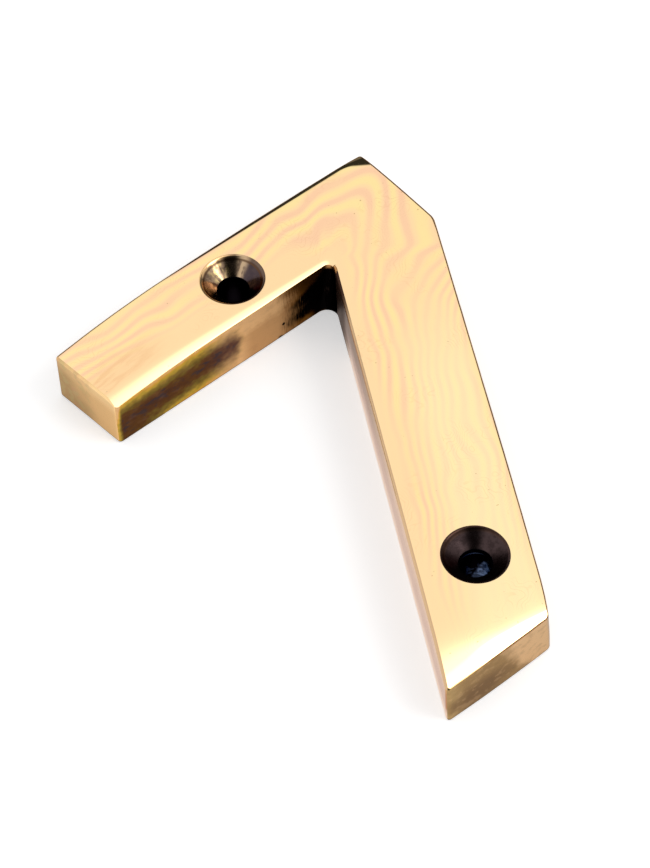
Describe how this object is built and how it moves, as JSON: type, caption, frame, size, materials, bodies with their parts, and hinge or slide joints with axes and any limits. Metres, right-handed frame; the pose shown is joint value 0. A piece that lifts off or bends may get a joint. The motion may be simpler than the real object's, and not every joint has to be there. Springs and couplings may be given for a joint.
{
  "type": "house number",
  "caption": "Polished bronze house number seven: a flat-backed cast numeral with a bar, a leaning stem, a bevelled foot and countersunk screw holes.",
  "frame": {"origin": "middle of the outline's bounding box, on the flat back", "axes": "+Z out of the polished face, +Y up the numeral as it is read, +X along the bar to the reader's right"},
  "size_m": [0.0554, 0.078, 0.0094],
  "materials": {
    "polished_bronze": "polished face, unlacquered side walls with light tarnish"
  },
  "bodies": {
    "root": {"numeral_seven": "polished_bronze"}
  },
  "joints": []
}
